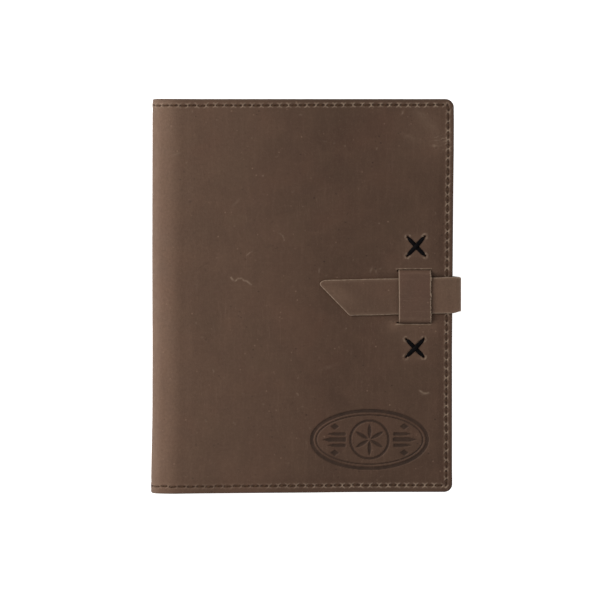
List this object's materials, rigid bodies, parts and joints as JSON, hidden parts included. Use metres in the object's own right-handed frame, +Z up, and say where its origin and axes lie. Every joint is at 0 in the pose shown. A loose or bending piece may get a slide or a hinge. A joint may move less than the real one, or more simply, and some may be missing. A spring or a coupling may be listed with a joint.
{
  "type": "leather notebook cover",
  "caption": "Refillable leather cover around a hardback notebook, sewn at the edges, closed by a strap that tucks under a leather keeper held by crossed laces.",
  "frame": {"origin": "middle of the footprint on the underside of the back panel, which lies on the table", "axes": "+X towards the fore-edge and the strap, +Y towards the head of the notebook, +Z up through the front panel"},
  "size_m": [0.1739, 0.2206, 0.0261],
  "materials": {
    "hide": "matte oiled pull-up",
    "strap_hide": "matte oiled pull-up",
    "lining": "suede side",
    "thread": "waxed",
    "lace": "waxed",
    "paper": "uncoated",
    "case_board": "matte cloth"
  },
  "bodies": {
    "back_panel": {"back_cover": "hide", "back_seam_thread": "thread", "back_lining": "lining", "back_sleeve": "lining", "strap_tab": "strap_hide", "strap_tab_thread": "thread", "notebook_back_board": "case_board", "page_block": "paper"},
    "lower_spine": {"spine_hide_lower": "hide", "spine_lining_lower": "lining", "spine_head_thread_lower": "thread", "spine_tail_thread_lower": "thread"},
    "middle_spine": {"spine_hide_middle": "hide", "spine_lining_middle": "lining", "spine_head_thread_middle": "thread", "spine_tail_thread_middle": "thread", "notebook_case_spine": "case_board"},
    "upper_spine": {"spine_hide_upper": "hide", "spine_lining_upper": "lining", "spine_head_thread_upper": "thread", "spine_tail_thread_upper": "thread"},
    "front_panel": {"front_cover": "hide", "front_seam_thread": "thread", "front_lining": "lining", "front_sleeve": "lining", "notebook_front_board": "case_board", "keeper": "strap_hide", "upper_cross_lace": "lace", "lower_cross_lace": "lace"},
    "strap_upright": {"strap_fold": "strap_hide"},
    "strap_end": {"strap_tongue": "strap_hide"}
  },
  "joints": [
    {"name": "cover_opening", "type": "hinge", "parent": "back_panel", "child": "lower_spine", "pos_m": [-0.0783, 0, 0.00156], "axis": [0, -1, 0], "range_deg": [0, 45]},
    {"name": "spine_flex_lower", "type": "hinge", "parent": "lower_spine", "child": "middle_spine", "pos_m": [-0.08563, 0, 0.00848], "axis": [0, -1, 0], "range_deg": [0, 45]},
    {"name": "spine_flex_upper", "type": "hinge", "parent": "middle_spine", "child": "upper_spine", "pos_m": [-0.08563, 0, 0.01412], "axis": [0, -1, 0], "range_deg": [0, 45]},
    {"name": "front_panel_flex", "type": "hinge", "parent": "upper_spine", "child": "front_panel", "pos_m": [-0.0783, 0, 0.02104], "axis": [0, -1, 0], "range_deg": [0, 45]},
    {"name": "strap_opening", "type": "hinge", "parent": "back_panel", "child": "strap_upright", "pos_m": [0.08515, 0.00054, 0.00315], "axis": [-0.0236, 0.9997, 0], "range_deg": [0, 90]},
    {"name": "strap_end_flex", "type": "hinge", "parent": "strap_upright", "child": "strap_end", "pos_m": [0.08515, 0.00054, 0.02285], "axis": [-0.0236, 0.9997, 0], "range_deg": [0, 90]}
  ],
  "couplings": [
    {"joint": "spine_flex_lower", "follows": "cover_opening", "ratio": 1},
    {"joint": "spine_flex_upper", "follows": "cover_opening", "ratio": 1},
    {"joint": "front_panel_flex", "follows": "cover_opening", "ratio": 1},
    {"joint": "strap_end_flex", "follows": "strap_opening", "ratio": 1}
  ]
}
